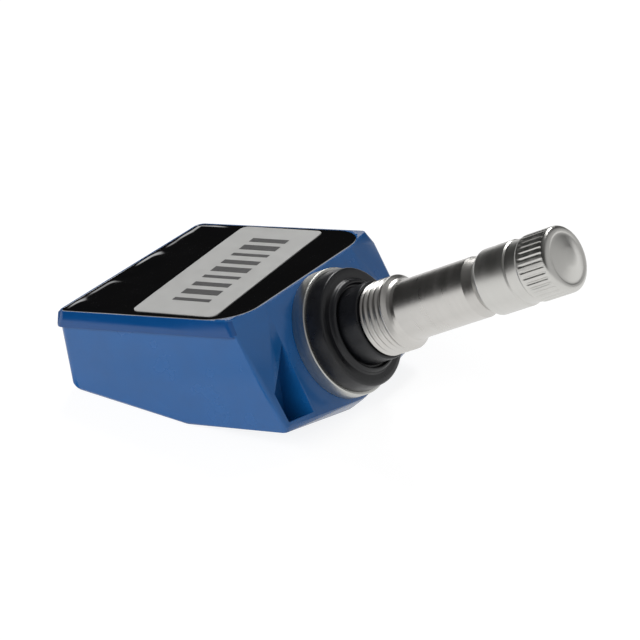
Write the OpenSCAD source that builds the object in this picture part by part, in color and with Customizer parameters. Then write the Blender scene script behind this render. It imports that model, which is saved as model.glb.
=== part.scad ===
// Clamp-in tyre pressure sensor: a moulded electronics box, filled with resin, on an angled metal valve.
// Origin: centre of the rim's valve hole, on the face of the rubber grommet that seats inside the rim.
// +Z is up with the box lying on its sloped underside, and the valve leans up towards +X.

/* [Box] */
// Length from the box's far wall to the rim seat, along the box
box_l = 40.65; // [36:0.05:44]
// Width of the box
box_w = 38.3; // [36:0.1:42]
// Height of the box's brim above the rim seat point
brim_rise = 7.3; // [6.6:0.1:8]
// Height of the rim seat point above the surface that the box lies on
seat_rise = 13.35; // [13.1:0.05:13.6]
// Slope of the underside against the brim, in degrees
floor_slope = 12.4; // [11.6:0.1:13.2]
// Where the sloped underside turns flat, behind the rim seat
knee_back = 20.2; // [18:0.2:22]
// Thickness of the floor and of the lower walls
wall = 1.7; // [1.4:0.1:2]
// Height of the band round the brim
band_h = 2.2; // [1.8:0.1:2.8]
// How far the band stands out of the wall below it, and how far it leans in towards the brim
band_out = 0.4; // [0.05:0.05:0.5]
// Height of the band's lower, nearly upright part
band_low_h = 1.1; // [0.6:0.1:1.5]
// How far the lower part of the band leans in
band_low_lean = 0.15; // [0.05:0.05:0.25]
// How much the side walls draw in towards the bottom
side_draft = 0.3; // [0:0.05:0.6]
// Radius of the upright corners at the far end
far_corner_r = 1.6; // [1.2:0.1:2.4]
// Radius of the lower edge at the far end
far_edge_r = 1.8; // [1:0.1:2.4]
// Radius of the bend where the underside turns flat
knee_r = 2; // [1:0.5:4]
// Chamfer along the lower edges of the side walls
low_chamfer = 0.4; // [0.2:0.1:0.8]

/* [Valve side of the box] */
// Angle between the valve and the box, in degrees
valve_tilt = 18.8; // [17:0.1:21]
// Half width of the middle block that carries the valve
block_half_w = 11.9; // [11.2:0.1:12.6]
// How far the upright corners lie behind the middle block, at the brim
corner_back_high = 1.4; // [1.2:0.1:2]
// How far the upright corners lie behind the middle block, at the bottom
corner_back_low = 0.6; // [0.4:0.1:1]
// Radius of the upright corners on the valve side
valve_corner_r = 1; // [0.6:0.1:1.2]
// Distance from the valve's axis down to the lower corner of the middle block
block_drop = 8.3; // [8:0.1:8.6]
// Radius of the round foot under the valve
foot_r = 10.85; // [10.8:0.05:11.1]
// Distance from the valve's axis up to the tip of each side pocket
pocket_tip_rise = 3.5; // [3:0.1:4.4]
// Distance from the valve's axis down to the floor of each side pocket
pocket_drop = 6.5; // [5.6:0.1:6.6]
// Distance from the valve's axis down to the bend in each pocket's outer edge
pocket_bend_drop = 2; // [1.2:0.1:2.8]
// Thickness of the outer wall beside each side pocket
pocket_side_wall = 1.4; // [1.2:0.1:2.4]
// Thickness of wall kept between the pockets and the resin
pocket_back_wall = 1.4; // [1:0.1:2]

/* [Resin and label] */
// Land left showing round the resin
brim_land = 0.5; // [0.4:0.05:0.8]
// Depth of the step that the resin overlaps
brim_step_h = 0.6; // [0.4:0.1:1]
// Width of that step
brim_step_w = 0.8; // [0.5:0.1:1]
// Distance from the rim seat back to the resin's edge, at the brim
resin_back = 8.5; // [8.3:0.1:9]
// Radius of the resin's corners on the valve side
resin_corner_r = 6; // [3:0.5:8]
// How far the resin's top lies under the brim
resin_low = 0.05; // [0:0.05:0.2]
// Width of the label, across its bars
label_w = 14.9; // [12:0.1:18]
// Resin left showing past the ends of the label, on average
label_margin = 0.95; // [0.9:0.05:4]
// Thickness of the label
label_t = 0.1; // [0.05:0.05:0.2]
// Distance from the rim seat back to the label's middle
label_back = 22.3; // [20:0.1:24]
// Distance of the label's middle from the middle of the box, away from the front
label_side = 0.6; // [-0.6:0.1:0.6]
// Skew of the label's long edges, in degrees
label_skew = 5.6; // [0:0.2:6]
// Skew of the label's cut ends, in degrees
label_end_skew = -1.6; // [-3:0.2:6]
// Number of bars on the label
bar_count = 9; // [5:1:12]
// Length of the bars
bar_l = 6.6; // [5:0.2:9]
// Distance from one bar to the next
bar_pitch = 3; // [2.6:0.1:3]
// Thickness of the printed bars
bar_t = 0.03; // [0.02:0.01:0.05]

/* [Board and battery] */
// Height of the board's upper face over the rim seat point; negative is lower
board_top = -0.5; // [-0.8:0.1:-0.2]
// Thickness of the board
board_t = 1.2; // [0.8:0.1:1.2]
// Length of the board
board_l = 23.6; // [22:0.2:24.4]
// Diameter of the coin cell
cell_d = 20; // [16:0.5:20.5]
// Thickness of the coin cell
cell_t = 3.2; // [2:0.1:4]
// Thickness of the two battery tabs
tab_t = 0.2; // [0.15:0.05:0.4]
// Width of the battery tabs
tab_w = 3; // [2:0.2:5]
// Length of the pressure chip
chip_l = 8; // [6:0.2:9]
// Width of the pressure chip
chip_w = 7.2; // [5:0.2:8]
// Height of the pressure chip
chip_h = 2; // [1.4:0.1:2.2]
// Diameter of the pressure port through the floor
port_d = 1.5; // [1:0.1:2.5]
// Distance of the port behind the middle of the space under the board
port_back = 1; // [0.6:0.1:1.4]
// Outer diameter of the pressure port's gasket
gasket_d = 4.4; // [3.6:0.2:6]
// Height of the gasket
gasket_h = 0.7; // [0.5:0.1:1]
// Length of the wake-up coil
coil_l = 8; // [6:0.5:11]
// Height of the antenna bow over the board
bow_h = 4.6; // [3:0.2:5.2]

/* [Small parts on the board] */
// Distance from the board's long edge to the middle of the row of small parts
row_edge = 3.8; // [3.6:0.1:4.2]
// Length of the control chip
control_l = 6; // [5:0.2:6.4]
// Width of the control chip
control_w = 5; // [4:0.2:5.2]
// Height of the control chip
control_h = 1.4; // [1:0.1:1.8]
// Length of the crystal
crystal_l = 3.2; // [2.5:0.1:3.6]
// Width of the crystal
crystal_w = 2.5; // [2:0.1:2.8]
// Height of the crystal
crystal_h = 0.8; // [0.6:0.1:1.2]
// Length of each capacitor
capacitor_l = 1.6; // [1.2:0.1:1.8]
// Width of each capacitor
capacitor_w = 0.9; // [0.7:0.05:1]
// Height of each capacitor
capacitor_h = 0.8; // [0.5:0.1:1]
// Distance from one capacitor to the next
capacitor_pitch = 1.4; // [1.3:0.05:1.45]
// Width of the coil's core
coil_core_w = 1.6; // [1.2:0.1:2]
// Height of the coil's core
coil_core_h = 1.6; // [1.2:0.1:1.8]
// Width of the coil's ends
coil_w = 2.8; // [2.6:0.1:3]
// Height of the coil's ends
coil_h = 2.8; // [2.6:0.1:3]
// Length of each end of the coil
coil_end_l = 1; // [0.8:0.1:1.2]
// Width of the antenna bow
bow_w = 1.4; // [1:0.1:1.6]
// Thickness of the antenna bow
bow_t = 0.4; // [0.3:0.05:0.5]

/* [Valve stem] */
// Diameter of the stem's base ring
ring_d = 19; // [18:0.1:20]
// Thickness of the base ring
ring_t = 2.3; // [1.8:0.1:3]
// Chamfer of the base ring's front edge
ring_chamfer = 0.35; // [0.1:0.05:0.6]
// Outer diameter of the nut thread
nut_thread_d = 11; // [10.4:0.1:11.4]
// Where the nut thread starts, from the rim seat
nut_thread_from = 4.1; // [4:0.1:4.8]
// Where the nut thread ends, from the rim seat
nut_thread_to = 8.1; // [7.5:0.1:9]
// Diameter of the stem inside the grommet
shank_d = 9.8; // [9:0.1:10]
// Diameter of the barrel between the thread and the cap
barrel_d = 8.86; // [8.4:0.02:9.2]
// Length of the cone from the nut thread down to the barrel
shoulder_l = 1.5; // [0.8:0.1:2]
// Where the barrel ends, from the rim seat
barrel_to = 22.2; // [20:0.2:24]
// Outer diameter of the cap thread
cap_thread_d = 7.7; // [7.5:0.05:7.8]
// Where the stem ends, from the rim seat
stem_to = 34; // [33:0.2:34.4]
// Diameter of the stem's tail inside the box
tail_d = 8; // [7:0.1:8.4]
// Length of the tail behind the base ring
tail_l = 7.4; // [6.8:0.1:7.8]
// Diameter of the anchor collar on the tail
anchor_d = 10; // [9:0.1:10.6]
// Width of the anchor collar
anchor_w = 1; // [0.8:0.1:1.5]
// Diameter of the air bore through the stem
air_bore_d = 3; // [2:0.1:3.4]
// Diameter of the chamber round the valve core's lower half
core_chamber_d = 4; // [3.8:0.05:4.4]
// Diameter of the hole for the valve core's head
core_head_bore_d = 5.2; // [5.1:0.05:5.4]

/* [Grommet] */
// Diameter of the flange at its front
flange_d = 17.5; // [16.5:0.1:18]
// Diameter of the flange at its back, against the stem's ring
flange_back_d = 18.2; // [16.8:0.1:18.3]
// Thickness of the grommet's flange
flange_t = 2.8; // [2.2:0.1:3.4]
// Chamfer of the flange's front edge
flange_edge = 0.2; // [0.1:0.05:0.6]
// Diameter of the neck that goes into the rim's valve hole
neck_d = 11.6; // [11.4:0.1:12]
// Length of the neck
neck_l = 3.9; // [3.2:0.1:3.9]
// Diameter of the raised bead round the neck's root
bead_d = 14; // [12.8:0.1:15.6]
// Width of the raised bead
bead_w = 0.65; // [0.4:0.05:1]
// Height of the raised bead
bead_h = 0.75; // [0.3:0.05:0.8]

/* [Valve core] */
// Diameter of the core's threaded head
core_head_d = 5.1; // [5:0.02:5.12]
// Length of the core's threaded head
core_head_l = 4.2; // [3.6:0.1:4.6]
// How far the core's pin can be pressed in
pin_travel = 1; // [0.8:0.1:1.2]
// Outer diameter of the core's barrel
core_barrel_d = 3.4; // [3.2:0.05:3.5]
// Length of the core's barrel
core_barrel_l = 10.4; // [9:0.2:12]
// Inner diameter of the core's barrel
core_barrel_bore_d = 2.6; // [2.4:0.05:2.7]
// Diameter of the core's pin
pin_d = 0.9; // [0.8:0.05:1]
// Diameter of the cup that closes the core's lower end
cup_d = 3; // [2.8:0.05:3.2]
// Height of that cup
cup_h = 1.6; // [1.2:0.1:2.2]
// Diameter of the spring's wire
spring_wire_d = 0.28; // [0.2:0.02:0.34]
// Number of turns of the spring
spring_turns = 7; // [5:1:9]

/* [Cap] */
// Diameter of the cap's plain band
cap_d = 9.6; // [9.3:0.05:9.9]
// Diameter of the groove between the band and the knurled grip
cap_waist_d = 9.1; // [9:0.05:9.3]
// Diameter of the knurled grip
grip_d = 9.6; // [9.3:0.05:9.9]
// Where the cap starts, from the rim seat
cap_from = 23.7; // [23:0.1:24.2]
// Length of the chamfer at the cap's mouth
cap_mouth_l = 1.2; // [0.6:0.1:1.6]
// Length of the plain band with its chamfer
cap_band_l = 6.2; // [5:0.1:7]
// Length of the waist behind the grip
cap_waist_l = 2.4; // [1.4:0.1:3]
// Length of the knurled grip
grip_l = 4.5; // [3.6:0.1:5.4]
// Number of grooves in the grip
knurl_count = 30; // [20:1:36]
// Diameter of the cutter that leaves each groove
knurl_d = 0.6; // [0.4:0.05:0.8]
// Radius of the grip's rounded shoulder
grip_round = 0.8; // [0.5:0.05:1.1]
// Diameter of the groove round the cap's dome
dome_groove_d = 7.4; // [6.6:0.1:7.8]
// Depth of that groove
dome_groove_h = 0.35; // [0.2:0.05:0.5]
// How far the dome stands out of the grip's end
dome_h = 0.8; // [0.4:0.1:1.2]
// Thickness of the cap's seal
cap_seal_t = 0.9; // [0.6:0.1:1.4]

/* [Fits] */
// Radial gap between the cap's thread and the stem's
thread_gap = 0.08; // [0.05:0.01:0.1]
// Radial gap between the core's pin and its guide
pin_gap = 0.08; // [0.05:0.01:0.1]
// Gap between two faces of moving pieces that only rest on each other
seat_gap = 0.03; // [0.02:0.01:0.06]

/* [Hidden] */

edge_fn = 24;
round_fn = 96;
eps = 0.01;
big = 200;

valve_rise = floor_slope + valve_tilt;
ring_back = flange_t + ring_t;
half_w = box_w / 2;
brim_z = brim_rise;
band_z = brim_z - band_h;
resin_top = brim_z - resin_low;
board_bottom = board_top - board_t;
tail_back = ring_back + tail_l;
pin_out = pin_travel + 0.1;
core_sunk = pin_out + 0.1;

// Height, in the box's frame, of a ball of radius r at x that touches the ground plane
function on_ground(x, r) = (r - seat_rise - x * sin(floor_slope)) / cos(floor_slope);
// Position in the box's frame of the point s along the valve and d below its axis
function along_x(s, d) = s * cos(valve_tilt) + d * sin(valve_tilt);
function along_z(s, d) = s * sin(valve_tilt) - d * cos(valve_tilt);
// Distance below the valve's axis of the point at height z on the plane s
function drop_at(s, z) = (s * sin(valve_tilt) - z) / cos(valve_tilt);

flat_z = on_ground(-knee_back, 0);
far_x = -box_l;
label_l = 2 * (half_w - band_out - brim_land - label_margin);

// Frames
module in_box() {
    rotate([0, -floor_slope, 0]) children();
}
module on_valve() {
    rotate([0, 90 - valve_rise, 0]) children();
}
module valve_in_box() {
    rotate([0, 90 - valve_tilt, 0]) children();
}

// Box
// A rod that lies in the plane s, beside the axis, between the heights low_z and high_z of the box
module edge_rod(s, y, low_z, high_z, r) {
    valve_in_box()
        translate([drop_at(s - r, high_z), y - sign(y) * r, s - r])
            rotate([0, 90, 0])
                cylinder(h = drop_at(s - r, low_z) - drop_at(s - r, high_z), r = r, $fn = edge_fn);
}
// A bar across the box under its floor, with chamfered ends
module cross_bar(x, r) {
    for (step = [[r, low_chamfer], [r - low_chamfer, 0]])
        translate([x, 0, on_ground(x, r)]) rotate([90, 0, 0])
            cylinder(h = 2 * (low_half_w - step[1]), r = step[0], center = true, $fn = 32);
}
module foot_disc(s, r) {
    intersection() {
        valve_in_box() translate([0, 0, s - eps]) cylinder(h = eps, r = r, $fn = 64);
        translate([-big / 2, -big / 2, -big]) cube([big, big, big + flat_z + 1]);
    }
}
low_half_w = half_w - band_out - side_draft;
// Point at height z of the box on the plane s
function x_on(s, z) = along_x(s, drop_at(s, z));
corner_high_x = x_on(-ring_back - corner_back_high, brim_z);
corner_low_x = x_on(-ring_back - corner_back_low, flat_z);
corner_band_x = corner_high_x + (corner_low_x - corner_high_x) * band_h / (brim_z - flat_z);
corner_mid_x = corner_high_x
    + (corner_low_x - corner_high_x) * (band_h - band_low_h) / (brim_z - flat_z);
module box_hull() {
    over = 0.3;
    hull() {
        for (side = [-1, 1]) {
            translate([far_x + band_out + far_corner_r, side * (half_w - band_out - far_corner_r), brim_z])
                cylinder(h = over, r = far_corner_r, $fn = 32);
            translate([far_x + far_corner_r, side * (half_w - far_corner_r), band_z])
                cylinder(h = over, r = far_corner_r, $fn = 32);
            translate([far_x + band_low_lean + far_corner_r,
                side * (half_w - band_low_lean - far_corner_r), band_z + band_low_h])
                cylinder(h = 0.01, r = far_corner_r, $fn = 32);
            translate([corner_high_x - valve_corner_r, side * (half_w - band_out - valve_corner_r), brim_z])
                cylinder(h = over, r = valve_corner_r, $fn = edge_fn);
            translate([corner_band_x - valve_corner_r, side * (half_w - valve_corner_r), band_z])
                cylinder(h = over, r = valve_corner_r, $fn = edge_fn);
            translate([corner_mid_x - valve_corner_r,
                side * (half_w - band_low_lean - valve_corner_r), band_z + band_low_h])
                cylinder(h = 0.01, r = valve_corner_r, $fn = edge_fn);
            translate([corner_low_x - valve_corner_r, side * (low_half_w - valve_corner_r), flat_z])
                cylinder(h = low_chamfer * 2, r1 = valve_corner_r - low_chamfer / 2, r2 = valve_corner_r,
                    $fn = edge_fn);
            edge_rod(-ring_back, side * block_half_w, along_z(-ring_back, block_drop), brim_z + over, 0.5);
        }
        cross_bar(far_x + band_out + side_draft / 2 + far_edge_r, far_edge_r);
        cross_bar(-knee_back, knee_r);
        foot_disc(-ring_back, foot_r - 0.9);
        foot_disc(-ring_back - 0.8, foot_r - 0.55);
        foot_disc(-ring_back - 2.8, foot_r);
    }
}
// Space that the walls may fill: all of it in the band's height, and a step inwards below the band
module wall_limits() {
    y = half_w - band_out;
    x = far_x + band_out;
    translate([-big / 2, -big / 2, band_z]) cube([big, big, band_h]);
    translate([0, 0, -big / 2]) linear_extrude(big / 2 + band_z + eps) {
        translate([x + far_corner_r, -y]) square([big, 2 * y]);
        translate([x, far_corner_r - y]) square([far_corner_r + eps, 2 * (y - far_corner_r)]);
        for (side = [-1, 1])
            translate([x + far_corner_r, side * (y - far_corner_r)]) circle(r = far_corner_r, $fn = 32);
    }
}
// Rounded plate on the resin's outline: inset from the land by in, far corners of radius fr
module resin_plate(in, z0, z1) {
    x0 = far_x + band_out + brim_land + in;
    x1 = -resin_back - in;
    y1 = half_w - band_out - brim_land - in;
    fr = far_corner_r - brim_land;
    vr = resin_corner_r - in;
    translate([0, 0, z0]) linear_extrude(z1 - z0) {
        translate([x0 + fr, -y1]) square([x1 - x0 - fr - vr, 2 * y1]);
        translate([x0, -y1 + fr]) square([fr + eps, 2 * (y1 - fr)]);
        translate([x1 - vr - eps, -y1 + vr]) square([vr + eps, 2 * (y1 - vr)]);
        for (side = [-1, 1]) {
            translate([x0 + fr, side * (y1 - fr)]) circle(r = fr, $fn = 48);
            translate([x1 - vr, side * (y1 - vr)]) circle(r = vr, $fn = 48);
        }
    }
}
board_x0 = far_x + band_out + brim_land + brim_step_w + 0.1;
board_x1 = board_x0 + board_l;
board_half_w = half_w - band_out - brim_land - brim_step_w - 0.1;
lower_x0 = board_x0 + wall - 0.8;
lower_x1 = board_x1 - 0.9;
lower_half_w = board_half_w - 1.1;

// Tail of the stem, with its anchor collar; gap widens it for the seat in the box
module tail(gap) {
    translate([0, 0, -tail_back - gap])
        cylinder(h = tail_l + gap + eps, d = tail_d + 2 * gap, $fn = round_fn);
    translate([0, 0, -tail_back + tail_l / 2 - anchor_w / 2 - gap])
        cylinder(h = anchor_w + 2 * gap, d = anchor_d + 2 * gap, $fn = round_fn);
}
tail_wall = 1.6;
// The part of the box that wraps the tail
module tail_sleeve(gap) {
    valve_in_box() translate([0, 0, -tail_back - tail_wall - gap])
        cylinder(h = tail_back, d = anchor_d + 2 * tail_wall + 2 * gap, $fn = round_fn);
}
function floor_in(x) = on_ground(x, wall);
post_top = board_bottom - chip_h - gasket_h;
// The port is behind the middle of the lower space, but not where the floor is as high as the gasket
floor_meets_post_x = (wall - seat_rise - post_top * cos(floor_slope)) / sin(floor_slope);
port_x = max((lower_x0 + lower_x1) / 2 - port_back, floor_meets_post_x + gasket_d / 2 + port_back / 4);
module resin_space(gap) {
    difference() {
        union() {
            resin_plate(gap, brim_z - brim_step_h + gap, resin_top + (gap == 0 ? big : 0));
            resin_plate(brim_step_w + gap, board_top + gap, brim_z - brim_step_h + 2 * gap + eps);
        }
        tail_sleeve(gap);
    }
}
module lower_space() {
    translate([0, lower_half_w, 0]) rotate([90, 0, 0]) linear_extrude(2 * lower_half_w)
        polygon([[lower_x0, board_bottom + eps], [lower_x0, floor_in(lower_x0)],
            [-knee_back, floor_in(-knee_back)], [lower_x1, floor_in(-knee_back)],
            [lower_x1, board_bottom + eps]]);
}
// One of the two hollows beside the block; side is -1 or 1
module side_pocket(side) {
    tip = [-pocket_tip_rise, side * block_half_w];
    outer = side * (half_w - band_out - pocket_side_wall);
    intersection() {
        valve_in_box() translate([0, 0, -ring_back - 12]) linear_extrude(14)
            polygon([tip, [pocket_bend_drop, outer], [pocket_drop, outer],
                [pocket_drop + 0.8, side * block_half_w]]);
        translate([-resin_back + pocket_back_wall - 0.4, -big / 2, -big / 2]) cube(big);
    }
}
module housing() {
    color([0.05, 0.32, 0.62]) in_box() difference() {
        intersection() {
            box_hull();
            wall_limits();
            rotate([0, floor_slope, 0]) translate([-big / 2, -big / 2, -seat_rise]) cube(big);
        }
        resin_space(0);
        translate([board_x0 - 0.1, -board_half_w - 0.1, board_bottom])
            cube([board_l + 0.2, 2 * board_half_w + 0.2, board_t + eps]);
        difference() {
            lower_space();
            translate([port_x, 0, -big / 2]) cylinder(h = big / 2 + post_top, d = gasket_d, $fn = round_fn);
        }
        translate([port_x, 0, -big / 2]) cylinder(h = big, d = port_d, $fn = round_fn);
        valve_in_box() tail(0.02);
        valve_in_box() translate([0, 0, -tail_back - 0.8]) cylinder(h = 1, d = air_bore_d, $fn = round_fn);
        translate([along_x(-tail_back - 0.3, 0), 0, -big / 2])
            cylinder(h = big / 2 + along_z(-tail_back - 0.3, 0), d = 2.2, $fn = round_fn);
        for (side = [-1, 1]) side_pocket(side);
    }
}

// Resin, label and print
module resin() {
    color([0.04, 0.04, 0.05]) in_box() difference() {
        resin_space(0.02);
        cell_solid();
        tab_positive_solid();
        tab_negative_solid();
        control_chip_solid();
        crystal_solid();
        capacitor_solids();
        coil_solid();
        antenna_solid();
    }
}
// The label's long edges and its cut ends each have their own skew, as on a hand-laid strip
label_across = [cos(label_end_skew), sin(label_end_skew)];
label_along = [-sin(label_skew), cos(label_skew)];
module on_label() {
    translate([-label_back, label_side, resin_top]) children();
}
// Point at u across and v along the label
function on_strip(u, v) = u * label_across + v * label_along;
module label() {
    r = 1.2;
    corner = [label_w / 2 - r, label_l / 2 - r];
    color([0.78, 0.79, 0.78]) in_box() on_label() linear_extrude(label_t) {
        for (x = [-1, 1], y = [-1, 1])
            translate(on_strip(x * corner[0], y * corner[1])) circle(r = r, $fn = 32);
        for (part = [[label_w / 2, corner[1]], [corner[0], label_l / 2]])
            polygon([on_strip(-part[0], -part[1]), on_strip(part[0], -part[1]),
                on_strip(part[0], part[1]), on_strip(-part[0], part[1])]);
    }
}
// Widths and gaps alternate in a plain repeating rhythm
function bar_w(i) = 1 + 0.42 * ((i * 2) % 3);
module label_bars() {
    color([0.25, 0.25, 0.26]) in_box() on_label() translate([0, 0, label_t]) linear_extrude(bar_t)
        for (i = [0 : bar_count - 1]) {
            v = (i - (bar_count - 1) / 2) * bar_pitch;
            u = bar_l / 18;
            polygon([on_strip(u - bar_l / 2, v - bar_w(i) / 2), on_strip(u + bar_l / 2, v - bar_w(i) / 2),
                on_strip(u + bar_l / 2, v + bar_w(i) / 2), on_strip(u - bar_l / 2, v + bar_w(i) / 2)]);
        }
}

// Board and what stands on it
module circuit_board() {
    color([0.05, 0.35, 0.2]) in_box()
        translate([board_x0, -board_half_w, board_bottom])
            cube([board_l, 2 * board_half_w, board_t]);
}
cell_x = board_x0 + cell_d / 2 + 1.4;
cell_y = -board_half_w + cell_d / 2 + 1;
cell_z = board_top + tab_t;
module cell_solid() {
    translate([cell_x, cell_y, cell_z]) cylinder(h = cell_t, d = cell_d, $fn = round_fn);
}
module coin_cell() {
    color([0.8, 0.8, 0.8]) in_box() cell_solid();
}
// The lower tab runs from under the cell out over the board
module tab_negative_solid() {
    translate([cell_x - tab_w / 2, cell_y, board_top]) cube([tab_w, cell_d / 2 + 3.2, tab_t]);
}
module tab_negative() {
    color([0.75, 0.72, 0.66]) in_box() tab_negative_solid();
}
// The upper tab lies on the cell, steps down beside it and ends on the board
module tab_positive_solid() {
    x = cell_x + 5.4;
    far_y = cell_y + cell_d / 2 + 0.5;
    translate([x - tab_w / 2, cell_y, cell_z + cell_t]) cube([tab_w, far_y - cell_y + tab_t, tab_t]);
    translate([x - tab_w / 2, far_y, board_top]) cube([tab_w, tab_t, cell_z + cell_t - board_top + eps]);
    translate([x - tab_w / 2, far_y, board_top]) cube([tab_w, 2, tab_t]);
}
module tab_positive() {
    color([0.75, 0.72, 0.66]) in_box() tab_positive_solid();
}
module pressure_chip() {
    color([0.12, 0.12, 0.13]) in_box() difference() {
        translate([port_x - chip_l / 2, -chip_w / 2, board_bottom - chip_h]) cube([chip_l, chip_w, chip_h]);
        translate([port_x, 0, board_bottom - chip_h - eps]) cylinder(h = 0.8, d = port_d, $fn = 48);
    }
}
module port_gasket() {
    color([0.55, 0.2, 0.15]) in_box() translate([port_x, 0, post_top]) difference() {
        cylinder(h = gasket_h, d = gasket_d, $fn = round_fn);
        translate([0, 0, -1]) cylinder(h = gasket_h + 2, d = port_d + 0.4, $fn = round_fn);
    }
}
row_y = board_half_w - row_edge;
row_gap = 0.4;
bow_x = board_x0 + 1;
coil_x = board_x1 - coil_l - 1;
module control_chip_solid() {
    translate([bow_x + 1, row_y + coil_w / 4 - control_w, board_top])
        cube([control_l, control_w, control_h]);
}
module control_chip() {
    color([0.1, 0.1, 0.11]) in_box() control_chip_solid();
}
module crystal_solid() {
    translate([bow_x + 1 + control_l + row_gap, row_y + coil_w / 4 - control_w, board_top])
        cube([crystal_l, crystal_w, crystal_h]);
}
module crystal() {
    color([0.7, 0.7, 0.68]) in_box() crystal_solid();
}
module capacitor_solids() {
    for (i = [0 : 4])
        translate([bow_x + bow_t + row_gap + i * capacitor_pitch, row_y + coil_w / 4 + row_gap, board_top])
            cube([capacitor_w, capacitor_l, capacitor_h]);
}
module capacitors() {
    color([0.62, 0.5, 0.36]) in_box() capacitor_solids();
}
coil_core_z = (coil_h - coil_core_h) / 2;
wire_inset = 0.1;
module coil_core_solid() {
    translate([coil_x, row_y - coil_w / 2 + 2 * row_gap, board_top]) {
        translate([0, (coil_w - coil_core_w) / 2, coil_core_z]) cube([coil_l, coil_core_w, coil_core_h]);
        for (x = [0, coil_l - coil_end_l]) translate([x, 0, 0]) cube([coil_end_l, coil_w, coil_h]);
    }
}
module coil_winding_solid() {
    translate([coil_x + coil_end_l, row_y - coil_w / 2 + 2 * row_gap, board_top]) difference() {
        translate([0, wire_inset, wire_inset])
            cube([coil_l - 2 * coil_end_l, coil_w - 2 * wire_inset, coil_h - 2 * wire_inset]);
        translate([-1, (coil_w - coil_core_w) / 2, coil_core_z])
            cube([coil_l + 2, coil_core_w, coil_core_h]);
    }
}
module coil_solid() {
    coil_core_solid();
    coil_winding_solid();
}
module coil_core() {
    color([0.2, 0.2, 0.22]) in_box() coil_core_solid();
}
module coil_winding() {
    color([0.72, 0.4, 0.2]) in_box() coil_winding_solid();
}
// A flat strip bent into a bow, with both feet on the board
module antenna_solid() {
    bow_l = coil_x - row_gap - bow_x;
    translate([bow_x, board_half_w - row_gap - bow_w, board_top]) {
        for (x = [0, bow_l - bow_t]) translate([x, 0, 0]) cube([bow_t, bow_w, bow_h]);
        translate([0, 0, bow_h - bow_t]) cube([bow_l, bow_w, bow_t]);
    }
}
module antenna_bow() {
    color([0.76, 0.6, 0.35]) in_box() antenna_solid();
}

// Valve stem
seat_cone_l = 1.4;
core_seat_s = stem_to - core_sunk - core_head_l - 1.6;
module valve_stem() {
    ring_r = ring_d / 2;
    color([0.72, 0.72, 0.71]) on_valve() difference() {
        union() {
            rotate_extrude($fn = round_fn) polygon([
                [0, -ring_back], [ring_r, -ring_back], [ring_r, -flange_t - ring_chamfer],
                [ring_r - ring_chamfer, -flange_t], [shank_d / 2, -flange_t], [shank_d / 2, nut_thread_from],
                [nut_thread_d / 2, nut_thread_from], [nut_thread_d / 2, nut_thread_to],
                [barrel_d / 2, nut_thread_to + shoulder_l], [barrel_d / 2, barrel_to],
                [cap_thread_d / 2, barrel_to + 1.4], [cap_thread_d / 2, stem_to - 0.5],
                [cap_thread_d / 2 - 0.5, stem_to], [0, stem_to]]);
            tail(0);
        }
        rotate_extrude($fn = round_fn) polygon([
            [0, -tail_back - 1], [air_bore_d / 2, -tail_back - 1], [air_bore_d / 2, 8],
            [core_chamber_d / 2, 8.6], [core_chamber_d / 2, core_seat_s],
            [core_head_bore_d / 2, core_seat_s + seat_cone_l], [core_head_bore_d / 2, stem_to + 1],
            [0, stem_to + 1]]);
    }
}

// Grommet: the flange seats inside the rim and the neck goes into the valve hole
module grommet() {
    color([0.09, 0.09, 0.1]) on_valve() difference() {
        union() {
            rotate_extrude($fn = round_fn) polygon([
                [0, -flange_t], [flange_back_d / 2, -flange_t], [flange_d / 2, -flange_edge],
                [flange_d / 2 - flange_edge, 0], [neck_d / 2, 0], [neck_d / 2, neck_l], [0, neck_l]]);
            rotate_extrude($fn = round_fn) intersection() {
                translate([bead_d / 2 - bead_w, 0]) scale([bead_w, bead_h]) circle(r = 1, $fn = 48);
                translate([bead_d / 2 - bead_w, -0.1]) square([bead_w, bead_h + 0.2]);
            }
        }
        translate([0, 0, -flange_t - 1]) cylinder(h = flange_t + neck_l + 2, d = shank_d, $fn = round_fn);
    }
}

// Valve core
head_top = stem_to - core_sunk;
head_low = head_top - core_head_l;
barrel_low = head_low - core_barrel_l;
guide_d = pin_d + 2 * pin_gap;
module core_head() {
    color([0.76, 0.6, 0.3]) on_valve() difference() {
        translate([0, 0, head_low]) cylinder(h = core_head_l, d = core_head_d, $fn = round_fn);
        translate([0, 0, head_low - 1]) cylinder(h = core_head_l + 2, d = guide_d, $fn = 48);
        for (side = [-1, 1])
            translate([side * (core_head_d / 2 + 0.7), 0, head_top - 0.9]) cube([3, 8, 2], center = true);
        for (side = [-1, 1])
            translate([0, side * 1.45, head_low - 1]) cylinder(h = core_head_l + 2, d = 0.7, $fn = 24);
    }
}
module core_barrel() {
    color([0.76, 0.6, 0.3]) on_valve() difference() {
        translate([0, 0, barrel_low]) cylinder(h = core_barrel_l, d = core_barrel_d, $fn = round_fn);
        translate([0, 0, barrel_low + 0.8])
            cylinder(h = core_barrel_l, d = core_barrel_bore_d, $fn = round_fn);
        translate([0, 0, barrel_low - 1]) cylinder(h = 3, d = pin_d + 0.7, $fn = 48);
    }
}
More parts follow.
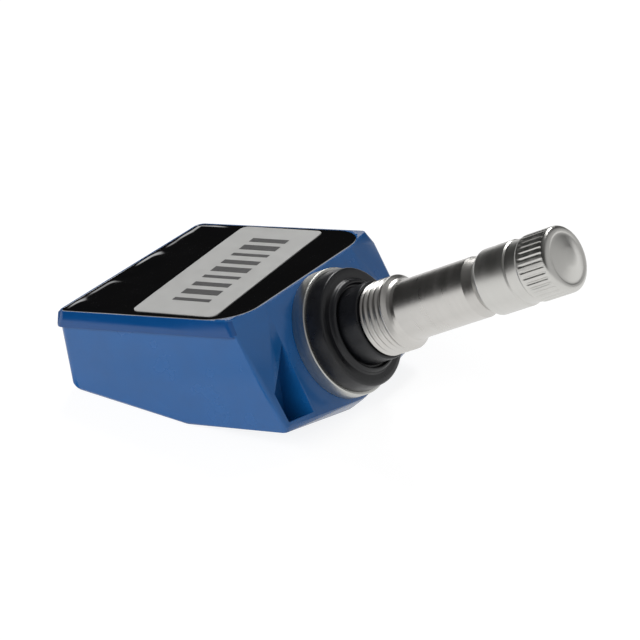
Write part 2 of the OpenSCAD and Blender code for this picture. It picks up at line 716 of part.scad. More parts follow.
// The washer seals the core's barrel against the cone in the stem
module core_washer() {
    color([0.85, 0.85, 0.82]) on_valve() difference() {
        rotate_extrude($fn = round_fn) polygon([
            [0, core_seat_s], [core_chamber_d / 2, core_seat_s],
            [core_head_bore_d / 2 - 0.1, core_seat_s + seat_cone_l - 0.05],
            [0, core_seat_s + seat_cone_l - 0.05]]);
        translate([0, 0, core_seat_s - 1]) cylinder(h = seat_cone_l + 2, d = core_barrel_d, $fn = round_fn);
    }
}
collar_h = 0.5;
collar_low = head_low - 1.6 - collar_h;
spring_low = barrel_low + 0.8 + spring_wire_d / 2;
spring_high = collar_low - spring_wire_d / 2;
module core_pin() {
    color([0.7, 0.55, 0.28]) on_valve() {
        translate([0, 0, barrel_low - cup_h - 0.3])
            cylinder(h = head_top + pin_out - barrel_low + cup_h + 0.3, d = pin_d, $fn = 48);
        translate([0, 0, collar_low]) cylinder(h = collar_h, d = core_barrel_bore_d - 0.2, $fn = 48);
    }
}
module core_cup() {
    color([0.1, 0.1, 0.1]) on_valve() difference() {
        translate([0, 0, barrel_low - cup_h - seat_gap]) cylinder(h = cup_h, d = cup_d, $fn = round_fn);
        translate([0, 0, barrel_low - cup_h - 1]) cylinder(h = cup_h + 2, d = pin_d, $fn = 48);
    }
}
// Helical spring, swept with 8 sides and 16 rings a turn
spring_r = core_barrel_bore_d / 2 - spring_wire_d / 2 - 0.1;
spring_rings = 16 * spring_turns;
function spring_point(i, k) =
    let (a = 360 * i / 16, b = 45 * k, r = spring_r + spring_wire_d / 2 * cos(b))
    [r * cos(a), r * sin(a),
        spring_low + (spring_high - spring_low) * i / spring_rings + spring_wire_d / 2 * sin(b)];
module core_spring() {
    sides = 8;
    points = [for (i = [0 : spring_rings], k = [0 : sides - 1]) spring_point(i, k)];
    faces = concat(
        [[for (k = [0 : sides - 1]) k]],
        [for (i = [0 : spring_rings - 1], k = [0 : sides - 1])
            let (a = i * sides + k, b = i * sides + (k + 1) % sides)
            [a, a + sides, b + sides, b]],
        [[for (k = [sides - 1 : -1 : 0]) spring_rings * sides + k]]);
    color([0.6, 0.6, 0.6]) on_valve() polyhedron(points = points, faces = faces, convexity = 10);
}

// Cap
band_to = cap_from + cap_band_l;
grip_from = band_to + cap_waist_l;
grip_to = grip_from + grip_l + grip_round;
cap_hole_d = cap_thread_d + 2 * thread_gap;
module cap() {
    mouth_d = barrel_d - 0.8;
    top_r = grip_d / 2 - grip_round;
    color([0.74, 0.74, 0.73]) on_valve() difference() {
        rotate_extrude($fn = round_fn) polygon(concat(
            [[0, cap_from], [mouth_d / 2, cap_from], [cap_d / 2, cap_from + cap_mouth_l],
                [cap_d / 2, band_to], [cap_waist_d / 2, band_to + 0.25],
                [cap_waist_d / 2, grip_from - 0.25], [grip_d / 2, grip_from]],
            [for (a = [0 : 15 : 90])
                [top_r + grip_round * cos(a), grip_to - grip_round + grip_round * sin(a)]],
            [[dome_groove_d / 2, grip_to], [dome_groove_d / 2 - 0.15, grip_to - dome_groove_h],
                [dome_groove_d / 2 - 0.5, grip_to - dome_groove_h]],
            [for (a = [10 : 16 : 90]) [(dome_groove_d / 2 - 0.6) * cos(a), grip_to - dome_groove_h
                + (dome_h + dome_groove_h) * sin(a)]]));
        translate([0, 0, cap_from - 1]) cylinder(h = stem_to + 2 * seat_gap + cap_seal_t - cap_from + 1,
            d = cap_hole_d, $fn = round_fn);
        translate([0, 0, stem_to + seat_gap + cap_seal_t]) cylinder(h = 1.2, d = 4, $fn = 48);
        for (i = [0 : knurl_count - 1])
            rotate([0, 0, 360 * i / knurl_count])
                translate([grip_d / 2 + knurl_d * 0.12, 0, grip_from + 0.4])
                cylinder(h = grip_l - 0.6, d = knurl_d, $fn = 16);
    }
}
module cap_seal() {
    color([0.12, 0.12, 0.12]) on_valve() translate([0, 0, stem_to + seat_gap])
        cylinder(h = cap_seal_t, d = cap_hole_d - 2 * seat_gap, $fn = round_fn);
}

housing();
resin();
label();
label_bars();
circuit_board();
coin_cell();
tab_positive();
tab_negative();
pressure_chip();
port_gasket();
control_chip();
crystal();
capacitors();
coil_core();
coil_winding();
antenna_bow();
valve_stem();
grommet();
core_head();
core_barrel();
core_washer();
core_pin();
core_cup();
core_spring();
cap();
cap_seal();
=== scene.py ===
"""Looks for a clamp-in tyre pressure sensor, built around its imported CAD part. Lengths in mm become metres."""
import math

import bmesh
import bpy
from mathutils import Matrix, Vector, noise


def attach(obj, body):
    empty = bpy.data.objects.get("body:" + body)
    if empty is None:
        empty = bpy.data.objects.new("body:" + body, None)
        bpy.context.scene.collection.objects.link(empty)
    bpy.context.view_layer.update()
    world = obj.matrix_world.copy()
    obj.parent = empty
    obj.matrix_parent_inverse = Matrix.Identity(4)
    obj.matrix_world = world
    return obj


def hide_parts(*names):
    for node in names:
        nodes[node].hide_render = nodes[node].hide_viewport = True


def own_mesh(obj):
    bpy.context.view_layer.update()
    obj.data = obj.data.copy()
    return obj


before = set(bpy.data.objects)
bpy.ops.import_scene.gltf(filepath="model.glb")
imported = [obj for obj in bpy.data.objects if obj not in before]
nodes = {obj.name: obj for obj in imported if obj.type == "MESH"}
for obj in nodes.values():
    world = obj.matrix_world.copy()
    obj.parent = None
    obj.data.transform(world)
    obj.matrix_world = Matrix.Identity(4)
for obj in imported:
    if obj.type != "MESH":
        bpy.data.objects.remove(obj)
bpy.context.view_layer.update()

# The world's origin is the rim's seat on the valve's axis. The box leans by SLOPE and the valve rises by RISE.
MM = 0.001
SLOPE = math.radians(12.4)
RISE = math.radians(31.2)
ALONG = Vector((math.cos(RISE), 0, math.sin(RISE)))
BELOW = Vector((math.sin(RISE), 0, -math.cos(RISE)))
SIDE = Vector((0, 1, 0))
FLOOR_Z = -13.35 * MM
BOX = Matrix.Rotation(-SLOPE, 3, "Y")
TO_BOX = BOX.transposed()


def at_box(x, y, z):
    """World place of a point of the box's frame, in mm."""
    return BOX @ Vector((x * MM, y * MM, z * MM))


def in_box(place):
    """Point of the box's frame, in mm, at a world place."""
    return TO_BOX @ place / MM


# Mesh helpers
def new_object(name, bm, body, crease):
    """Makes a smooth-shaded piece. Edges sharper than crease, in degrees, stay sharp; 0 leaves that to a modifier."""
    bmesh.ops.recalc_face_normals(bm, faces=bm.faces)
    mesh = bpy.data.meshes.new(name)
    bm.to_mesh(mesh)
    bm.free()
    mesh.shade_smooth()
    if crease:
        mesh.set_sharp_from_angle(angle=math.radians(crease))
    obj = bpy.data.objects.new(name, mesh)
    bpy.context.scene.collection.objects.link(obj)
    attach(obj, body)
    return obj


def arc_corner(before, corner, after, radius, steps=5):
    """Points of a rounded corner of a profile."""
    p, a, b = (Vector(v) for v in (corner, before, after))
    da, db = (a - p), (b - p)
    la, lb = da.length, db.length
    da.normalize()
    db.normalize()
    half = da.angle(db) / 2
    if radius <= 0 or half > math.radians(88):
        return [tuple(p)]
    cut = min(radius / math.tan(half), la * 0.49, lb * 0.49)
    r = cut * math.tan(half)
    centre = p + (da + db).normalized() * (r / math.sin(half))
    start, end = p + da * cut - centre, p + db * cut - centre
    turn = start.angle_signed(end)
    out = []
    for i in range(steps + 1):
        t = turn * i / steps
        c, s = math.cos(-t), math.sin(-t)
        out.append(tuple(centre + Vector((start.x * c - start.y * s, start.x * s + start.y * c))))
    return out


def soft_profile(points):
    """points are (s, r) or (s, r, corner radius)."""
    out = []
    for i, p in enumerate(points):
        if len(p) == 3 and 0 < i < len(points) - 1:
            out += arc_corner(points[i - 1][:2], p[:2], points[i + 1][:2], p[2])
        else:
            out.append(tuple(p[:2]))
    return out


def smooth_curve(points, steps=6):
    """Catmull-Rom curve through the points of a profile."""
    out = []
    last = len(points) - 1
    for i in range(last):
        p0, p1, p2, p3 = (Vector(points[min(max(k, 0), last)]) for k in range(i - 1, i + 3))
        for k in range(steps):
            t = k / steps
            out.append(tuple(0.5 * (2 * p1 + (p2 - p0) * t + (2 * p0 - 5 * p1 + 4 * p2 - p3) * t * t
                                    + (3 * p1 - p0 - 3 * p2 + p3) * t ** 3)))
    return out + [points[-1]]


def lathe(bm, profile, count, shape=None):
    """Turns a profile of (s, r), in mm, round the valve's axis. shape(s, r, angle) may change the radius."""
    rings = []
    for s, r in profile:
        if r < 1e-4:
            rings.append([bm.verts.new(ALONG * (s * MM))])
            continue
        ring = []
        for i in range(count):
            a = 2 * math.pi * i / count
            rr = shape(s, r, a) if shape else r
            ring.append(bm.verts.new(
                ALONG * (s * MM) + (BELOW * math.cos(a) + SIDE * math.sin(a)) * (rr * MM)))
        rings.append(ring)
    for one, two in zip(rings, rings[1:]):
        for i in range(count):
            j = (i + 1) % count
            if len(one) == 1:
                bm.faces.new((one[0], two[j], two[i]))
            elif len(two) == 1:
                bm.faces.new((one[i], one[j], two[0]))
            else:
                bm.faces.new((one[i], one[j], two[j], two[i]))
    bmesh.ops.remove_doubles(bm, verts=bm.verts, dist=1e-7)


# Materials
def noise_source(tree, space, scale, detail, stretch):
    """A noise in the object's frame. stretch turns the frame to the valve's axis and scales it along that axis."""
    texture = tree.nodes.new("ShaderNodeTexNoise")
    texture.inputs["Scale"].default_value = scale
    texture.inputs["Detail"].default_value = detail
    if stretch:
        mapping = tree.nodes.new("ShaderNodeMapping")
        mapping.vector_type = "TEXTURE"
        mapping.inputs["Rotation"].default_value = (0, math.pi / 2 - RISE, 0)
        mapping.inputs["Scale"].default_value = stretch
        tree.links.new(space, mapping.inputs["Vector"])
        tree.links.new(mapping.outputs[0], texture.inputs["Vector"])
    else:
        tree.links.new(space, texture.inputs["Vector"])
    return texture


def material(name, colour, rough=0.5, metal=0.0, vary=0.06, scale=300.0, bump=0.0, bump_scale=900.0,
             specular=0.5, rough_vary=0.08, stretch=None, depth=0.00005):
    """A surface whose colour and roughness follow one noise, and whose fine relief follows another."""
    mat = bpy.data.materials.new(name)
    mat.use_nodes = True
    tree = mat.node_tree
    tree.nodes.clear()
    add = tree.nodes.new
    link = tree.links.new
    out = add("ShaderNodeOutputMaterial")
    bsdf = add("ShaderNodeBsdfPrincipled")
    link(bsdf.outputs[0], out.inputs[0])
    bsdf.inputs["Metallic"].default_value = metal
    bsdf.inputs["Specular IOR Level"].default_value = specular
    space = add("ShaderNodeTexCoord").outputs["Object"]
    broad = noise_source(tree, space, scale, 5, stretch)
    ramp = add("ShaderNodeValToRGB")
    link(broad.outputs["Fac"], ramp.inputs[0])
    dark, light = ramp.color_ramp.elements
    dark.position, light.position = 0.3, 0.7
    dark.color = [c * (1 - vary) for c in colour] + [1]
    light.color = [min(1, c * (1 + vary)) for c in colour] + [1]
    link(ramp.outputs[0], bsdf.inputs["Base Color"])
    span = add("ShaderNodeMapRange")
    link(broad.outputs["Fac"], span.inputs[0])
    span.inputs["From Min"].default_value = 0.3
    span.inputs["From Max"].default_value = 0.7
    span.inputs["To Min"].default_value = max(0.02, rough - rough_vary)
    span.inputs["To Max"].default_value = min(1, rough + rough_vary)
    link(span.outputs[0], bsdf.inputs["Roughness"])
    if bump:
        fine = noise_source(tree, space, bump_scale, 4, stretch)
        lift = add("ShaderNodeBump")
        lift.inputs["Strength"].default_value = bump
        lift.inputs["Distance"].default_value = depth
        link(fine.outputs["Fac"], lift.inputs["Height"])
        link(lift.outputs[0], bsdf.inputs["Normal"])
    return mat


def srgb(r, g, b):
    return [((v / 255 + 0.055) / 1.055) ** 2.4 if v > 10 else v / 255 / 12.92 for v in (r, g, b)]


def dress(obj, *mats):
    obj.data.materials.clear()
    for mat in mats:
        obj.data.materials.append(mat)


TURNED = (9, 9, 1)
BLUE = material("moulded_blue", srgb(14, 82, 142), rough=0.24, rough_vary=0.05, vary=0.05, scale=240,
                specular=0.62, bump=0.15, bump_scale=2600)
# The band's blue is darker than the box's: painted shade, as if the band were lit less. Its gloss is smoother too.
BAND_PAINTED_SHADE = material("moulded_blue_band_painted_shade", srgb(8, 66, 122), rough=0.16, rough_vary=0.03, vary=0.05, scale=240,
                bump=0.1, bump_scale=2600)
RESIN = material("cast_resin", srgb(5, 5, 6), rough=0.06, vary=0.2, scale=120, rough_vary=0.03,
                 bump=0.04, bump_scale=260)
LABEL = material("label_film", srgb(182, 182, 180), rough=0.4, vary=0.03, scale=500, bump=0.05)
PRINT = material("label_print", srgb(62, 62, 62), rough=0.45, vary=0.12, scale=1500)
METAL = material("turned_metal", srgb(200, 198, 194), rough=0.3, metal=1.0, vary=0.04, scale=900,
                 rough_vary=0.04, bump=0.1, bump_scale=3000, stretch=TURNED, depth=0.00002)
RING = material("turned_metal_ring", srgb(196, 196, 192), rough=0.42, metal=1.0, vary=0.06, scale=900,
                rough_vary=0.06, bump=0.35, bump_scale=2400, stretch=TURNED, depth=0.00003)
CAPM = material("turned_metal_cap", srgb(202, 201, 197), rough=0.34, metal=1.0, vary=0.04, scale=900,
                rough_vary=0.05, bump=0.1, bump_scale=3000, stretch=TURNED, depth=0.00002)
TAPER = material("turned_metal_taper", srgb(198, 196, 192), rough=0.36, metal=1.0, vary=0.06, scale=900,
                 bump=0.3, bump_scale=3000, stretch=TURNED, depth=0.00003)
RUBBER = material("black_rubber", srgb(17, 18, 21), rough=0.33, vary=0.15, scale=600, specular=0.4,
                  bump=0.25, bump_scale=2200)
BRASS = material("brass", srgb(190, 150, 84), rough=0.3, metal=1.0, vary=0.08, scale=800)
STEEL = material("bright_steel", srgb(190, 190, 188), rough=0.25, metal=1.0, vary=0.05, scale=800)
NICKEL = material("nickel", srgb(196, 190, 176), rough=0.3, metal=1.0, vary=0.06, scale=800)
COPPER = material("copper_wire", srgb(186, 104, 62), rough=0.35, metal=1.0, vary=0.12, scale=2200, bump=0.4)
BOARD = material("board_green", srgb(20, 84, 46), rough=0.4, vary=0.12, scale=900, bump=0.1)
CHIP = material("chip_black", srgb(34, 34, 36), rough=0.55, vary=0.12, scale=1500, bump=0.2)
CERAMIC = material("ceramic", srgb(170, 140, 100), rough=0.45, vary=0.12, scale=1500, bump=0.1)
FERRITE = material("ferrite", srgb(48, 48, 52), rough=0.6, vary=0.15, scale=1500, bump=0.2)
GASKET = material("gasket_rubber", srgb(140, 60, 50), rough=0.6, vary=0.1, scale=900, bump=0.2)
NYLON = material("white_nylon", srgb(226, 226, 220), rough=0.4, vary=0.04, scale=900, bump=0.1)
for node, mat in {
        "label_bars": PRINT, "circuit_board": BOARD, "coin_cell": STEEL, "tab_positive": NICKEL,
        "tab_negative": NICKEL, "pressure_chip": CHIP, "port_gasket": GASKET, "control_chip": CHIP,
        "crystal": STEEL, "capacitors": CERAMIC, "coil_core": FERRITE, "coil_winding": COPPER,
        "antenna_bow": BRASS, "core_head": BRASS, "core_barrel": BRASS, "core_washer": NYLON,
        "core_pin": BRASS, "core_cup": RUBBER, "cap_seal": RUBBER}.items():
    dress(nodes[node], mat)

# Outline of the resin in the box's frame, in mm, with its corner radii at the far end and next to the valve
BRIM_Z, RESIN_Z = 7.3, 7.25
RESIN_X0, RESIN_X1, RESIN_Y = -39.75, -8.5, 18.25
FAR_R, NEAR_R = 1.1, 6.0


def inside_resin(x, y):
    """Distance from a point to the resin's outline; positive inside."""
    r = FAR_R if x < (RESIN_X0 + RESIN_X1) / 2 else NEAR_R
    qx = abs(x - (RESIN_X0 + RESIN_X1) / 2) - ((RESIN_X1 - RESIN_X0) / 2 - r)
    qy = abs(y) - (RESIN_Y - r)
    return r - min(max(qx, qy), 0) - math.hypot(max(qx, 0), max(qy, 0))


def ease(v, lo, hi):
    t = min(1, max(0, (v - lo) / (hi - lo)))
    return t * t * (3 - 2 * t)


def resin_height(x, y):
    """The resin climbs the brim, has a slightly uneven face, and swells along the far brim."""
    d = max(0.0, inside_resin(x, y))
    far = 1 - ease(x, -38.0, -31)
    uneven = min(1.0, max(0.0, 0.5 + 0.9 * noise.noise(Vector((0.3, y / 3.6, 4.1)))))
    climb = 0.09 * math.exp(-d / 0.25)
    swell = 0.3 * far * uneven * ease(d, 0.0, 1.5) * (1 - ease(d, 1.5, 5.5))
    trough = 0.05 * (1 - ease(d, 1.5, 9.0))
    wave = noise.noise(Vector((x / 2.8, y / 2.8, 0.7))) * (0.008 + 0.022 * far) * ease(d, 0.2, 1.6)
    return RESIN_Z - trough + climb + swell + wave * max(1 - ease(d, 3.0, 6.0), 0.1)


# Box: the CAD shape with its band leaning a little more and its edges softened.
# Resin is smeared over the far brim, down to SMEAR below its top.
BAND_LOW_Z = 5.2
BAND_LEAN = 0.3
SMEAR = 0.3
SHARP = 0.01
bm = bmesh.new()
bm.from_mesh(nodes["housing"].data)
bmesh.ops.remove_doubles(bm, verts=bm.verts, dist=1e-7)
bmesh.ops.dissolve_limit(bm, angle_limit=math.radians(0.4), verts=bm.verts, edges=bm.edges)
far_band = []
for face in bm.faces:
    middle = in_box(face.calc_center_median())
    if middle.x < -40.0 and middle.z > BAND_LOW_Z:
        far_band.append(face)
far_edges = {edge for face in far_band for edge in face.edges}
far_verts = {vert for face in far_band for vert in face.verts}
bmesh.ops.bisect_plane(bm, geom=far_band + list(far_edges | far_verts),
                       plane_co=at_box(0, 0, BRIM_Z - SMEAR), plane_no=at_box(0, 0, 1000).normalized())
for vert in bm.verts:
    x, y, z = in_box(vert.co)
    if abs(z - BRIM_Z) < SHARP and inside_resin(x, y) < -0.45 and x < -9.2:
        dx = (inside_resin(x + 0.01, y) - inside_resin(x - 0.01, y)) / 0.02
        dy = (inside_resin(x, y + 0.01) - inside_resin(x, y - 0.01)) / 0.02
        vert.co = at_box(x + dx * BAND_LEAN, y + dy * BAND_LEAN, z)
housing = new_object("moulded_box", bm, "sensor", 0)
bevel = housing.modifiers.new("soft_edges", "BEVEL")
bevel.width = 0.13 * MM
bevel.segments = 3
bevel.limit_method = "ANGLE"
bevel.angle_limit = math.radians(28)
bevel.harden_normals = True
dress(housing, BLUE, RESIN, BAND_PAINTED_SHADE)
for face in housing.data.polygons:
    middle = in_box(face.center)
    if middle.z > BRIM_Z - SMEAR and middle.x < -39.6 and abs(middle.y) < 17.5:
        face.material_index = 1
    # Faces of the band below the brim take the darker blue of painted shade.
    elif (BAND_LOW_Z < middle.z < BRIM_Z - SHARP and inside_resin(middle.x, middle.y) < -0.2
          and middle.x < -8.8):
        face.material_index = 2
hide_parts("housing")

# Resin: rings that follow the outline inwards, with the height taken from resin_height
RING_STEPS = [0.0, 0.04, 0.1, 0.18, 0.28, 0.4, 0.54, 0.7, 0.9, 1.15, 1.45, 1.8, 2.2, 2.7, 3.3, 4.0, 4.8, 5.7,
              7, 9, 11, 13, 15]
RESIN_SKIRT = 0.6


def resin_ring(d):
    """Points of the resin's outline, moved inwards by d."""
    x0, x1, y1 = RESIN_X0 + d, RESIN_X1 - d, RESIN_Y - d
    corners = ((x1, -y1, NEAR_R, -90), (x1, y1, NEAR_R, 0), (x0, y1, FAR_R, 90), (x0, -y1, FAR_R, 180))
    points = []
    for cx, cy, r, start in corners:
        r = max(r - d, 0.02)
        px, py = cx - math.copysign(r, cx + 24), cy - math.copysign(r, cy)
        for i in range(13):
            a = math.radians(start + 90 * i / 12)
            points.append((px + r * math.cos(a), py + r * math.sin(a)))
    out = []
    for i, (x, y) in enumerate(points):
        nx, ny = points[(i + 1) % len(points)]
        out.append((x, y))
        if i % 13 == 12:
            out += [(x + (nx - x) * k / 60, y + (ny - y) * k / 60) for k in range(1, 60)]
    return out


bm = bmesh.new()
rings = []
for d in RING_STEPS:
    rings.append([bm.verts.new(at_box(x, y, resin_height(x, y))) for x, y in resin_ring(d)])
skirt = [bm.verts.new(at_box(x, y, BRIM_Z - RESIN_SKIRT)) for x, y in resin_ring(0)]
for one, two in zip([skirt] + rings, rings):
    for i in range(len(one)):
        j = (i + 1) % len(one)
        bm.faces.new((one[i], one[j], two[j], two[i]))
bm.faces.new(rings[-1])
bm.faces.new(skirt)
resin = new_object("cast_resin", bm, "sensor", 50)
dress(resin, RESIN)
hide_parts("resin")

# Label: a thin strip that lies skewed on the resin and follows it
LABEL_W, LABEL_L, LABEL_T, LABEL_R = 14.9, 34.6, 0.1, 1.2
LABEL_X, LABEL_Y = -22.3, 0.6
ACROSS = (math.cos(math.radians(-1.6)), math.sin(math.radians(-1.6)))
UPWARDS = (-math.sin(math.radians(5.6)), math.cos(math.radians(5.6)))


def strip_row(v):
    """Points across the label at v along it."""
    over = max(0.0, abs(v) - (LABEL_L / 2 - LABEL_R))
    half = LABEL_W / 2 - LABEL_R + math.sqrt(max(LABEL_R ** 2 - over ** 2, 1e-6))
    return [(half * k / 14 * ACROSS[0] + v * UPWARDS[0] + LABEL_X,
             half * k / 14 * ACROSS[1] + v * UPWARDS[1] + LABEL_Y) for k in range(-14, 15)]


bm = bmesh.new()
inner = [LABEL_L / 2 - LABEL_R * (1 - math.sin(math.radians(a))) for a in range(0, 91, 10)]
middles = [(LABEL_L - 2 * LABEL_R) * (k / 64 - 0.5) for k in range(1, 64)]
steps = [-v for v in reversed(inner)] + middles + inner
upper, lower = [], []
for v in steps:
    row = strip_row(v)
    upper.append([bm.verts.new(at_box(x, y, resin_height(x, y) + LABEL_T)) for x, y in row])
    lower.append([bm.verts.new(at_box(x, y, resin_height(x, y))) for x, y in row])
for grid in (upper, lower):
    for one, two in zip(grid, grid[1:]):
        for k in range(28):
            bm.faces.new((one[k], one[k + 1], two[k + 1], two[k]))
rim = [(upper[i][0], lower[i][0]) for i in range(len(steps))]
rim += [(upper[-1][k], lower[-1][k]) for k in range(1, 29)]
rim += [(upper[i][28], lower[i][28]) for i in range(len(steps) - 2, -1, -1)]
rim += [(upper[0][k], lower[0][k]) for k in range(27, 0, -1)]
for (a, b), (c, d) in zip(rim, rim[1:] + rim[:1]):
    bm.faces.new((a, b, d, c))
label = new_object("label_strip", bm, "sensor", 40)
dress(label, LABEL)
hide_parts("label")

# Stem: base ring, shank, nut thread, barrel and the thread under the cap
PITCH = 1.0
THREAD_PHASE = 0.6
THREAD_DEPTH = 0.34
THREAD_R = 5.5
THREAD_FROM, THREAD_TO = 4.1, 8.1
RING_TO, TAPER_FROM = -2.7, 22.15


def thread_radius(s, r, a):
    """Cuts the nut thread's groove, which fades at both ends."""
    if not THREAD_FROM - 1e-6 < s < THREAD_TO + 1e-6:
        return r
    phase = (s / PITCH - a / (2 * math.pi) + THREAD_PHASE) % 1.0
    depth = THREAD_DEPTH * (0.5 - 0.5 * math.cos(2 * math.pi * phase)) ** 0.8
    fade_in = min(1, (s - THREAD_FROM) / 0.3)
    fade_out = min(1, max(0, (THREAD_TO - s) / 0.6))
    return r - depth * fade_in * fade_out - 0.15 * (1 - fade_in)


bm = bmesh.new()
thread_rows = [(THREAD_FROM + (THREAD_TO - THREAD_FROM) * i / 96, THREAD_R) for i in range(97)]
base = [(-5.1, 1.5), (-5.1, 9.5, 0.1), (-2.93, 9.5, 0.03), (-2.8, 9.37, 0.03), (-2.8, 4.9), (4.09, 4.9)]
barrel = [
    (8.1, 5.5), (8.2, 5.5, 0.1), (8.42, 5.2, 0.2), (8.7, 4.87, 0.3), (9.1, 4.6, 0.4), (9.6, 4.43, 0.3),
    (22.2, 4.43, 0.15), (23.6, 3.85, 0.1), (33.5, 3.85), (34.0, 3.35), (34.0, 2.6, 0.05), (28.4, 2.6),
    (27.0, 2.0), (8.6, 2.0), (8.0, 1.5), (-5.1, 1.5)]
lathe(bm, soft_profile(base) + thread_rows + soft_profile(barrel)[1:], 180, thread_radius)
stem = new_object("turned_stem", bm, "sensor", 30)
dress(stem, METAL, RING, TAPER)
for face in stem.data.polygons:
    along = face.center.dot(ALONG) / MM
    if along < RING_TO:
        face.material_index = 1
    elif along > TAPER_FROM:
        face.material_index = 2
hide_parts("valve_stem")

# Grommet: flange, a raised bead round the neck's root, and the neck
bm = bmesh.new()
flange = [(-2.8, 4.9), (-2.8, 9.1, 0.1), (-0.1, 8.75, 0.45), (0.0, 8.0, 0.1), (0.0, 7.2)]
turns = [math.radians(7.5 * i) for i in range(2, 12)]
bead = [(0.75 * math.sin(u), 6.32 + 0.68 * math.cos(u)) for u in turns]
neck = [(0.75, 6.5), (0.72, 6.3, 0.12), (0.1, 6.15, 0.1), (0.1, 5.8, 0.1), (3.9, 5.8, 0.22), (3.9, 4.9), (-2.8, 4.9)]
lathe(bm, soft_profile(flange) + bead + soft_profile(neck), 160)
grommet = new_object("rubber_grommet", bm, "sensor", 40)
dress(grommet, RUBBER)
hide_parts("grommet")

# Cap
KNURLS = 34
KNURL_DEPTH = 0.15
CAP_R = 4.795
CAP_ROUND = 0.8
GRIP_FROM, GRIP_TO = 32.3, 36.8
KNURL_FROM, KNURL_TO = GRIP_FROM + 0.35, GRIP_TO - 0.02


def knurl_radius(s, r, a):
    """Cuts the grip's flutes, which fade at both ends. The end face, with its smaller radii, stays plain."""
    if not KNURL_FROM < s < KNURL_TO or r < 4.3:
        return r
    phase = (a * KNURLS / (2 * math.pi)) % 1.0
    cut = max(0.0, math.cos((phase - 0.5) * 2 * math.pi)) ** 0.8
    fade = min(1, (s - KNURL_FROM) / 0.4) * min(1, max(0, (KNURL_TO - s) / 0.4))
    return r - KNURL_DEPTH * cut * math.sqrt(fade)


bm = bmesh.new()
skin = [
    (34.9, 0), (34.9, 3.93), (23.7, 3.93), (23.7, 4.03, 0.05), (24.9, CAP_R, 0.25), (29.9, CAP_R, 0.1),
    (30.15, 4.6, 0.1), (32.0, 4.6, 0.2), (GRIP_FROM, CAP_R)]
grip_rows = [(GRIP_FROM + (GRIP_TO - GRIP_FROM) * i / 24, CAP_R) for i in range(1, 24)]
turns = [math.radians(9 * i) for i in range(10)]
shoulder = [(GRIP_TO + CAP_ROUND * math.sin(t), CAP_R - CAP_ROUND + CAP_ROUND * math.cos(t)) for t in turns]
end_face = smooth_curve([(37.6, 4.0), (37.58, 3.8), (37.52, 3.6), (37.57, 3.3), (37.76, 2.75), (38.04, 1.95),
                         (38.26, 1.3), (38.37, 0.6), (38.4, 0.0)])
lathe(bm, soft_profile(skin) + grip_rows + shoulder + end_face[1:], 456, knurl_radius)
cap = new_object("knurled_cap", bm, "cap", 30)
dress(cap, CAPM)
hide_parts("cap")

# Spring of the valve core, copied into a mesh of its own
spring = nodes["core_spring"]
bm = bmesh.new()
bm.from_mesh(spring.data)
coil = new_object("plunger_spring", bm, "sensor", 40)
coil.matrix_world = spring.matrix_world
dress(coil, STEEL)
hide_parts("core_spring")
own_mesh(coil)


# Floor: diffuse for the object's light, and near white where the camera and the gloss see it
def floor_material():
    mat = bpy.data.materials.new("pale_floor")
    mat.use_nodes = True
    tree = mat.node_tree
    tree.nodes.clear()
    add = tree.nodes.new
    link = tree.links.new
    out = add("ShaderNodeOutputMaterial")
    plain = add("ShaderNodeBsdfDiffuse")
    plain.inputs[0].default_value = (0.8, 0.8, 0.8, 1)
    faint = add("ShaderNodeBsdfDiffuse")
    faint.inputs[0].default_value = (0.22, 0.22, 0.22, 1)
    glow = add("ShaderNodeEmission")
    glow.inputs[1].default_value = 0.86
    both = add("ShaderNodeAddShader")
    link(faint.outputs[0], both.inputs[0])
    link(glow.outputs[0], both.inputs[1])
    path = add("ShaderNodeLightPath")
    seen = path.outputs["Is Camera Ray"]
    for ray in ("Is Glossy Ray", "Is Transmission Ray"):
        either = add("ShaderNodeMath")
        either.operation = "MAXIMUM"
        link(seen, either.inputs[0])
        link(path.outputs[ray], either.inputs[1])
        seen = either.outputs[0]
    mix = add("ShaderNodeMixShader")
    link(seen, mix.inputs[0])
    link(plain.outputs[0], mix.inputs[1])
    link(both.outputs[0], mix.inputs[2])
    link(mix.outputs[0], out.inputs[0])
    return mat


FLOOR_HALF = 6.0
bm = bmesh.new()
for x, y in ((-1, -1), (1, -1), (1, 1), (-1, 1)):
    bm.verts.new((x * FLOOR_HALF, y * FLOOR_HALF, FLOOR_Z))
bm.faces.new(bm.verts)
floor_mesh = bpy.data.meshes.new("floor")
bm.to_mesh(floor_mesh)
bm.free()
floor = bpy.data.objects.new("floor", floor_mesh)
bpy.context.scene.collection.objects.link(floor)
floor_mesh.materials.append(floor_material())

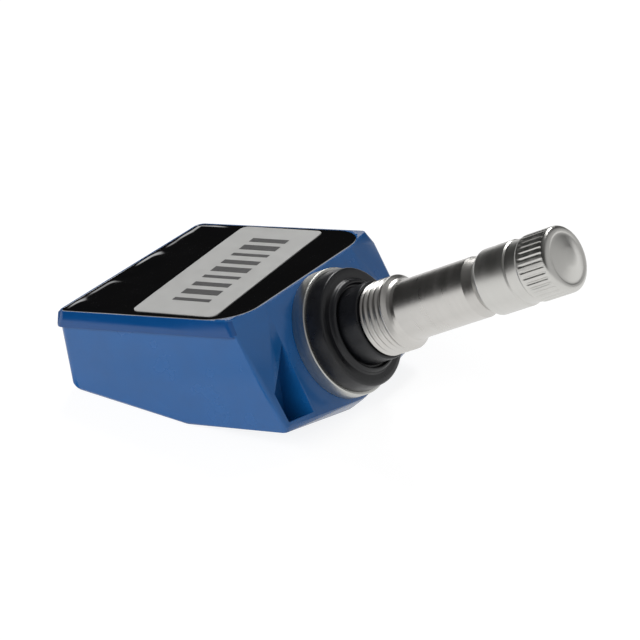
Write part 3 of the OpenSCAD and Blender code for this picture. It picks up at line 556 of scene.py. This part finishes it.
# The studio round the floor: white at the horizon, dark on the left and paler on the right
SKY_STOPS = (
    ("Z", [(0.0, 1.0), (0.02, 0.9), (0.09, 0.015), (0.4, 0.02), (0.75, 0.1), (1.0, 0.16)]),
    ("X", [(0.0, 0.015), (0.15, 0.04), (0.3, 0.36), (0.6, 0.58), (1.0, 0.64)]))
world = bpy.data.worlds.new("studio")
bpy.context.scene.world = world
world.use_nodes = True
tree = world.node_tree
tree.nodes.clear()
out = tree.nodes.new("ShaderNodeOutputWorld")
sky = tree.nodes.new("ShaderNodeBackground")
space = tree.nodes.new("ShaderNodeTexCoord")
parts = tree.nodes.new("ShaderNodeSeparateXYZ")
tree.links.new(space.outputs["Generated"], parts.inputs[0])
lighter = tree.nodes.new("ShaderNodeMath")
lighter.operation = "MAXIMUM"
for place, (axis, stops) in enumerate(SKY_STOPS):
    ramp = tree.nodes.new("ShaderNodeValToRGB")
    tree.links.new(parts.outputs[axis], ramp.inputs[0])
    while len(ramp.color_ramp.elements) < len(stops):
        ramp.color_ramp.elements.new(0.5)
    for stop, (position, level) in zip(ramp.color_ramp.elements, stops):
        stop.position = position
        stop.color = (level, level, level, 1)
    tree.links.new(ramp.outputs[0], lighter.inputs[place])
tree.links.new(lighter.outputs[0], sky.inputs[0])
tree.links.new(sky.outputs[0], out.inputs[0])


def softbox(name, azimuth, elevation, distance, size, power):
    """A rectangular lamp that faces the origin, from distance metres away."""
    a, e = math.radians(azimuth), math.radians(elevation)
    place = Vector((math.cos(a) * math.cos(e), math.sin(a) * math.cos(e), math.sin(e))) * distance
    light = bpy.data.lights.new(name, "AREA")
    light.shape = "RECTANGLE"
    light.size, light.size_y = size
    light.energy = power
    obj = bpy.data.objects.new(name, light)
    bpy.context.scene.collection.objects.link(obj)
    obj.location = place
    obj.rotation_mode = "QUATERNION"
    obj.rotation_quaternion = (-place).to_track_quat("-Z", "Y")
    return obj


softbox("box_behind", 121, 44, 0.7, (0.17, 0.36), 2.1)
fill = softbox("box_front", -104, 31, 0.9, (0.9, 0.6), 6.8)
fill.visible_glossy = False

# Camera, fitted to the photo in the box's frame
camera_data = bpy.data.cameras.new("camera")
camera_data.lens = 196.94
camera_data.sensor_width = 36.0
camera_data.clip_start, camera_data.clip_end = 0.01, 20
camera = bpy.data.objects.new("camera", camera_data)
bpy.context.scene.collection.objects.link(camera)
RIGHT = BOX @ Vector((0.831519, 0.531553, -0.161328))
UP = BOX @ Vector((-0.053509, 0.365716, 0.929187))
BACK = RIGHT.cross(UP)
spot = at_box(272.188, -386.165, 168.601)
turn = Matrix((RIGHT, UP, BACK)).transposed()
camera.matrix_world = Matrix.Translation(spot) @ turn.to_4x4()
bpy.context.scene.camera = camera
bpy.context.scene.view_settings.view_transform = "Standard"
